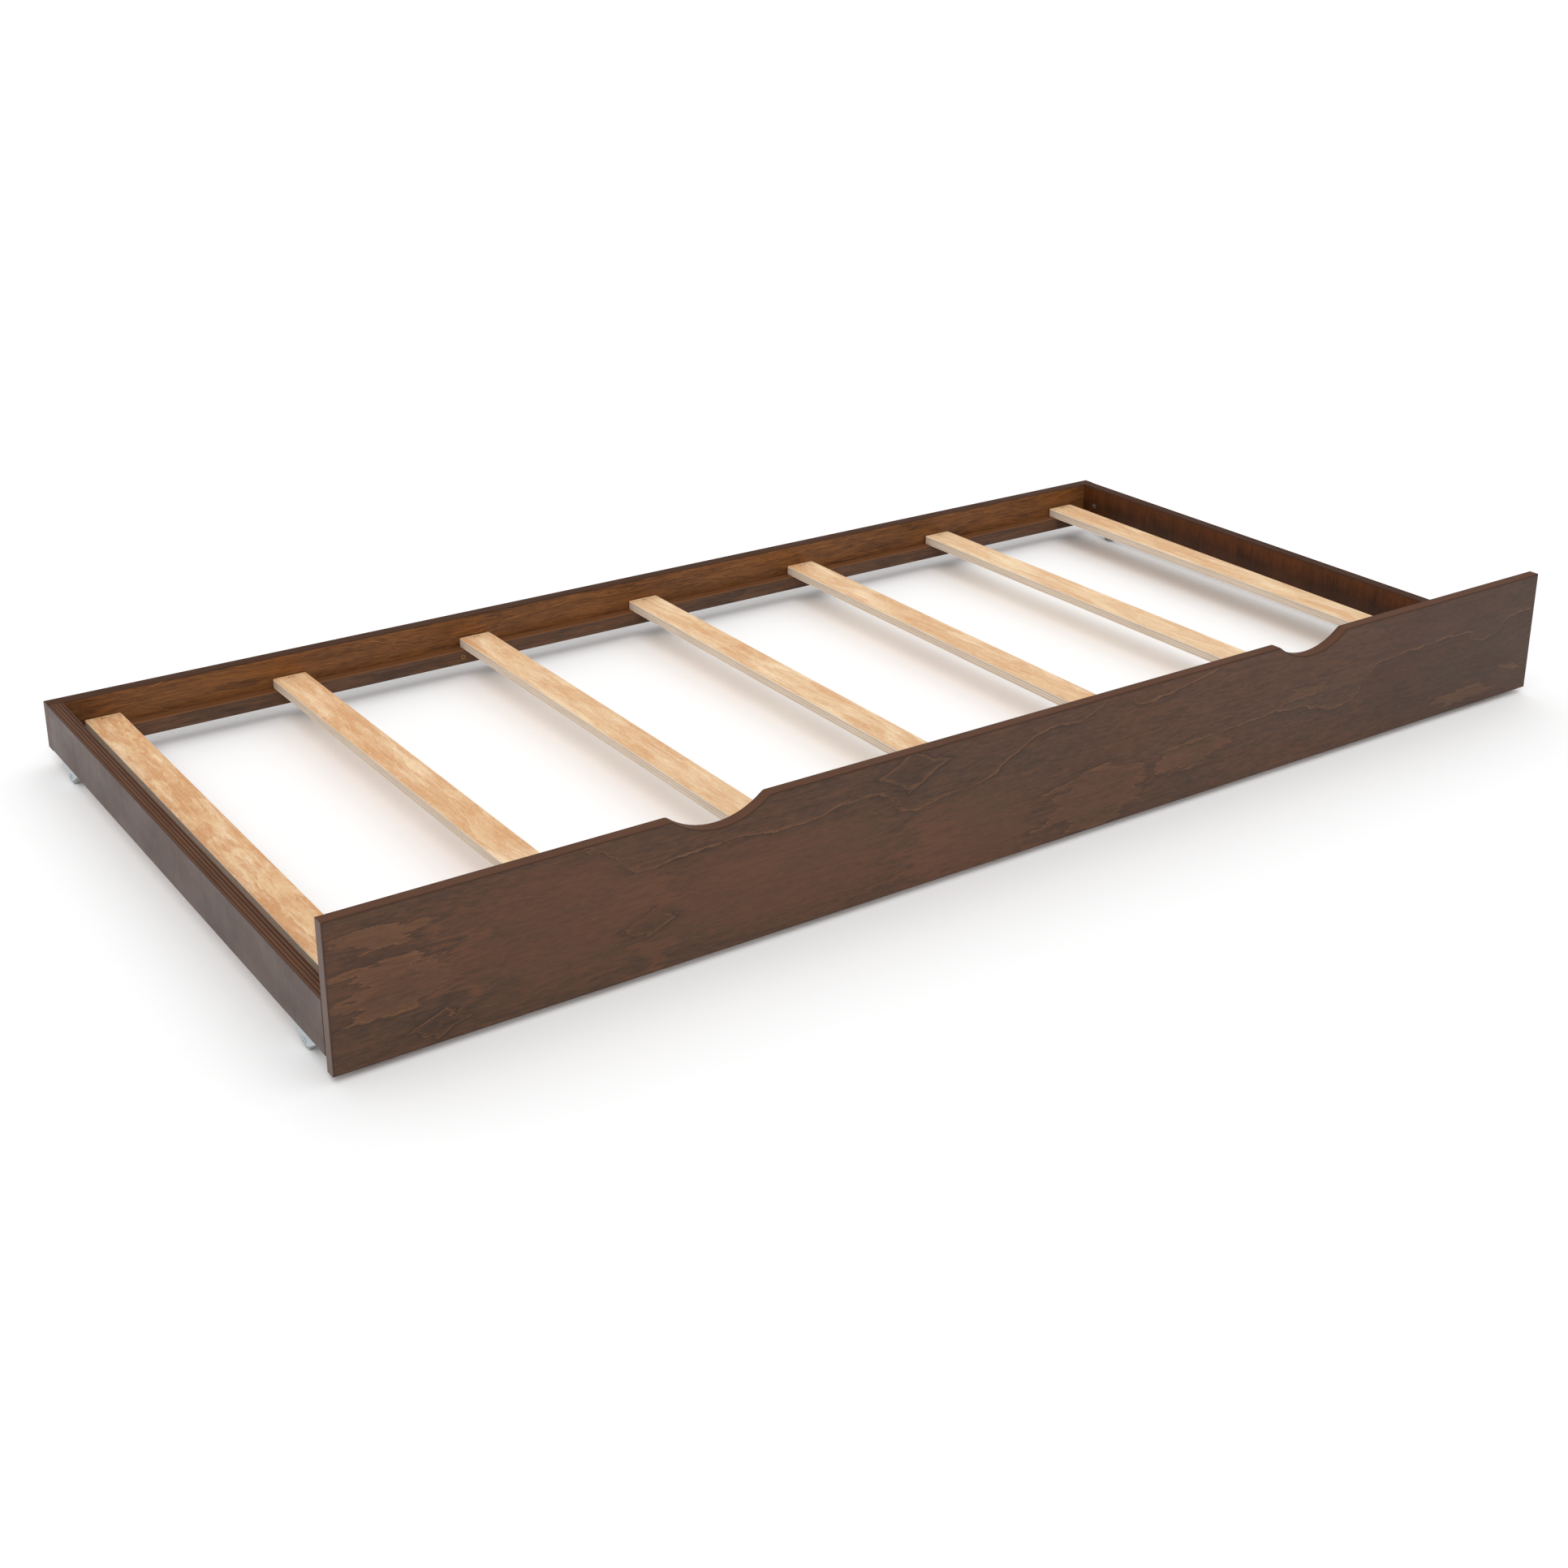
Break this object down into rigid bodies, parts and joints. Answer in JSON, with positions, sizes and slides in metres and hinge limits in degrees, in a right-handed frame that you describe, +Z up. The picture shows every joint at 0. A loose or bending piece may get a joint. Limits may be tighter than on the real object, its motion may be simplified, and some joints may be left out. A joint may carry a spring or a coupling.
{
  "type": "under-bed trundle frame",
  "caption": "Low rolling frame with a tall front panel, two hand cut-outs and cross slats, which carries a twin mattress under a bed.",
  "frame": {"origin": "on the floor under the centre of the frame's outline", "axes": "+X along the length to the right, +Y from the front panel to the back board, +Z up"},
  "size_m": [1.952, 1.009, 0.193],
  "materials": {
    "stained_plywood": "dark walnut stain, satin, rotary-cut figure",
    "cleat_wood": "walnut stain, thin and warm, satin",
    "natural_plywood": "unfinished sanded plywood",
    "zinc_steel": "bright zinc plate",
    "staple_steel": "galvanised wire",
    "screw_steel": "black phosphate",
    "castor_wheel": "moulded grey nylon"
  },
  "bodies": {
    "frame": {"front_panel": "stained_plywood", "back_board": "stained_plywood", "left_side_board": "stained_plywood", "right_side_board": "stained_plywood", "front_cleat": "cleat_wood", "back_cleat": "cleat_wood", "slat_1": "natural_plywood", "slat_2": "natural_plywood", "slat_3": "natural_plywood", "slat_4": "natural_plywood", "slat_5": "natural_plywood", "slat_6": "natural_plywood", "slat_7": "natural_plywood", "staple_1_front": "staple_steel", "staple_1_back": "staple_steel", "staple_2_front": "staple_steel", "staple_2_back": "staple_steel", "staple_3_front": "staple_steel", "staple_3_back": "staple_steel", "staple_4_front": "staple_steel", "staple_4_back": "staple_steel", "staple_5_front": "staple_steel", "staple_5_back": "staple_steel", "staple_6_front": "staple_steel", "staple_6_back": "staple_steel", "staple_7_front": "staple_steel", "staple_7_back": "staple_steel", "castor_front_left_bracket": "zinc_steel", "castor_front_left_axle": "zinc_steel", "castor_front_left_screw_front": "zinc_steel", "castor_front_left_screw_back": "zinc_steel", "castor_front_right_bracket": "zinc_steel", "castor_front_right_axle": "zinc_steel", "castor_front_right_screw_front": "zinc_steel", "castor_front_right_screw_back": "zinc_steel", "castor_back_left_bracket": "zinc_steel", "castor_back_left_axle": "zinc_steel", "castor_back_left_screw_front": "zinc_steel", "castor_back_left_screw_back": "zinc_steel", "castor_back_right_bracket": "zinc_steel", "castor_back_right_axle": "zinc_steel", "castor_back_right_screw_front": "zinc_steel", "castor_back_right_screw_back": "zinc_steel", "corner_bolt_left": "zinc_steel", "corner_nut_left": "zinc_steel", "cam_left": "zinc_steel", "cam_dowel_left": "zinc_steel", "cleat_screw_front_left": "screw_steel", "cleat_screw_back_left": "screw_steel", "corner_bolt_right": "zinc_steel", "corner_nut_right": "zinc_steel", "cam_right": "zinc_steel", "cam_dowel_right": "zinc_steel", "cleat_screw_front_right": "screw_steel", "cleat_screw_back_right": "screw_steel"},
    "wheel_front_left": {"castor_front_left_wheel": "castor_wheel"},
    "wheel_front_right": {"castor_front_right_wheel": "castor_wheel"},
    "wheel_back_left": {"castor_back_left_wheel": "castor_wheel"},
    "wheel_back_right": {"castor_back_right_wheel": "castor_wheel"}
  },
  "joints": [
    {"name": "wheel_front_left_roll", "type": "hinge", "parent": "frame", "child": "wheel_front_left", "pos_m": [-0.9655, -0.418, 0.011], "axis": [1, 0, 0], "continuous": true},
    {"name": "wheel_front_right_roll", "type": "hinge", "parent": "frame", "child": "wheel_front_right", "pos_m": [0.9655, -0.418, 0.011], "axis": [1, 0, 0], "continuous": true},
    {"name": "wheel_back_left_roll", "type": "hinge", "parent": "frame", "child": "wheel_back_left", "pos_m": [-0.9655, 0.418, 0.011], "axis": [1, 0, 0], "continuous": true},
    {"name": "wheel_back_right_roll", "type": "hinge", "parent": "frame", "child": "wheel_back_right", "pos_m": [0.9655, 0.418, 0.011], "axis": [1, 0, 0], "continuous": true}
  ]
}
